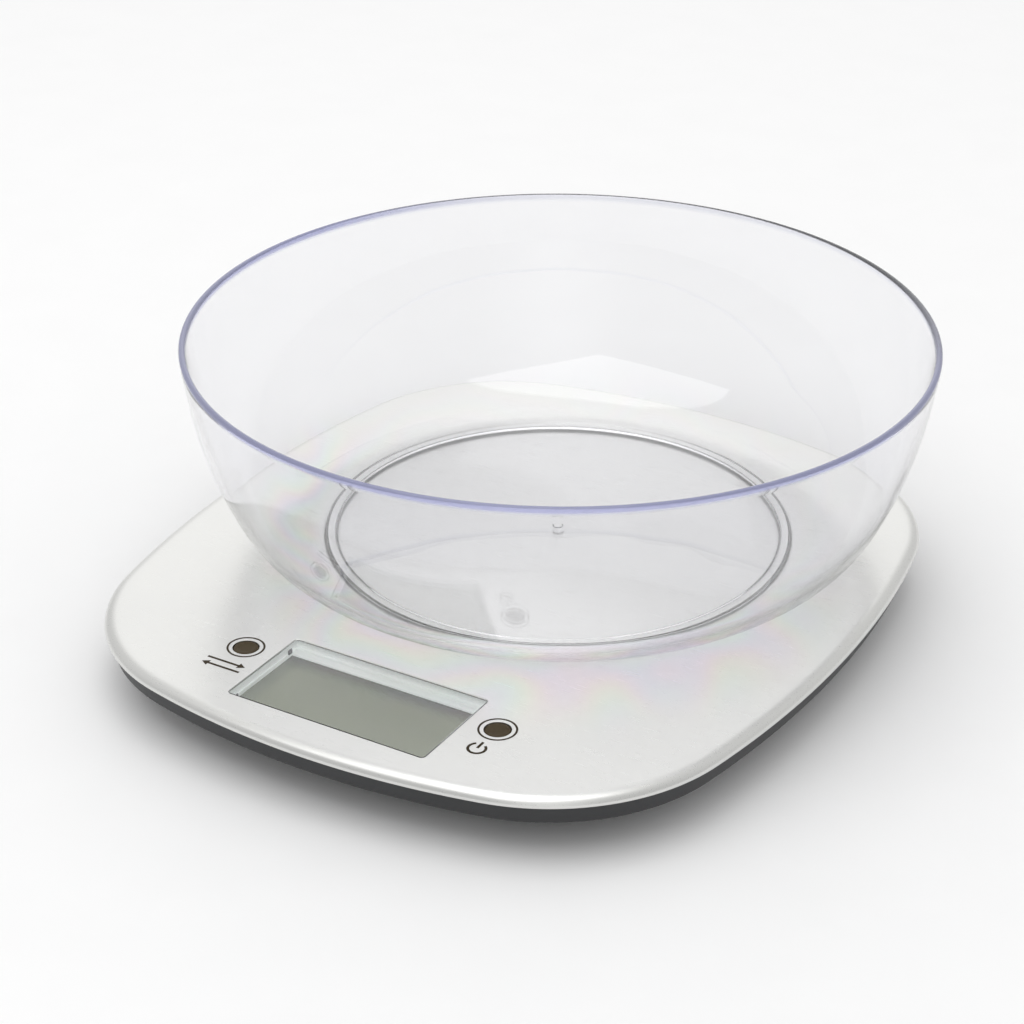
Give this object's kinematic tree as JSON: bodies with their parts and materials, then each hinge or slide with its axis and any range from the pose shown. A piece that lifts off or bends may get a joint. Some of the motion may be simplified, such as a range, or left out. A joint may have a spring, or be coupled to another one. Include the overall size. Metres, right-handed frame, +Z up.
{
  "type": "kitchen scale",
  "caption": "flat electronic kitchen scale with a steel weighing plate, front display between two keys, and a lift-off clear mixing bowl",
  "frame": {"origin": "middle of the bounding box, on the plane that the feet stand on", "axes": "+X to the right as seen from the front, -Y towards the user and the display, +Z up"},
  "size_m": [0.202, 0.227, 0.0791],
  "materials": {
    "bright_steel": "satin pressed stainless steel",
    "clear_plastic": "polished clear styrene plastic",
    "black_plastic": "fine moulded black ABS",
    "white_plastic": "natural white moulded ABS",
    "grey_plastic": "translucent light grey plastic",
    "key_plastic": "dark brown moulded plastic",
    "display_glass": "liquid crystal glass, unlit",
    "contact_rubber": "layered conductive rubber strip",
    "board": "green solder mask on glass-epoxy",
    "epoxy": "black epoxy",
    "spring_steel": "zinc-plated steel",
    "foot_rubber": "dark soft rubber",
    "nickel": "nickel-plated spring strip",
    "cell_sleeve": "printed sleeve over a steel can",
    "lead_sleeve": "PVC lead covering"
  },
  "bodies": {
    "housing": {"weighing_plate": "bright_steel", "window_lens": "clear_plastic", "base_tray": "black_plastic", "foot_shoe_front_left": "black_plastic", "foot_shoe_front_right": "black_plastic", "foot_shoe_back_left": "black_plastic", "foot_shoe_back_right": "black_plastic", "top_carrier": "white_plastic", "cell_holder_front_left": "white_plastic", "cell_holder_front_right": "white_plastic", "cell_holder_back_left": "white_plastic", "cell_holder_back_right": "white_plastic", "display_bezel": "grey_plastic", "lcd_panel": "display_glass", "lcd_connector": "contact_rubber", "circuit_board": "board", "chip_cover": "epoxy", "switch_body_left": "epoxy", "switch_body_right": "epoxy", "load_cell_front_left": "spring_steel", "load_cell_front_right": "spring_steel", "load_cell_back_left": "spring_steel", "load_cell_back_right": "spring_steel", "base_screw_1": "spring_steel", "base_screw_2": "spring_steel", "base_screw_3": "spring_steel", "base_screw_4": "spring_steel", "base_screw_5": "spring_steel", "base_screw_6": "spring_steel", "board_screw_1": "spring_steel", "board_screw_2": "spring_steel", "board_screw_3": "spring_steel", "board_screw_4": "spring_steel", "foot_pad_front_left": "foot_rubber", "foot_pad_front_right": "foot_rubber", "foot_pad_back_left": "foot_rubber", "foot_pad_back_right": "foot_rubber", "contact_bridge": "nickel", "contact_positive": "nickel", "contact_spring": "nickel", "battery_cell_back": "cell_sleeve", "battery_cell_front": "cell_sleeve", "sensor_lead_front_left": "lead_sleeve", "sensor_lead_front_right": "lead_sleeve", "sensor_lead_back_left": "lead_sleeve", "sensor_lead_back_right": "lead_sleeve", "battery_lead_red": "lead_sleeve", "battery_lead_black": "lead_sleeve"},
    "bowl": {"bowl": "clear_plastic"},
    "key_left": {"key_left": "key_plastic", "switch_plunger_left": "white_plastic"},
    "key_right": {"key_right": "key_plastic", "switch_plunger_right": "white_plastic"},
    "battery_door": {"battery_door": "black_plastic"}
  },
  "joints": [
    {"name": "bowl_lift", "type": "slide", "parent": "housing", "child": "bowl", "axis": [0, 0, 1], "range_m": [0, 0.12]},
    {"name": "key_left_press", "type": "slide", "parent": "housing", "child": "key_left", "axis": [0, 0, -1], "range_m": [0, 0.0004], "stiffness_N_per_m": 1500},
    {"name": "key_right_press", "type": "slide", "parent": "housing", "child": "key_right", "axis": [0, 0, -1], "range_m": [0, 0.0004], "stiffness_N_per_m": 1500},
    {"name": "battery_door_swing", "type": "hinge", "parent": "housing", "child": "battery_door", "pos_m": [0, 0.027, 0.0036], "axis": [1, 0, 0], "range_deg": [0, 100]}
  ]
}
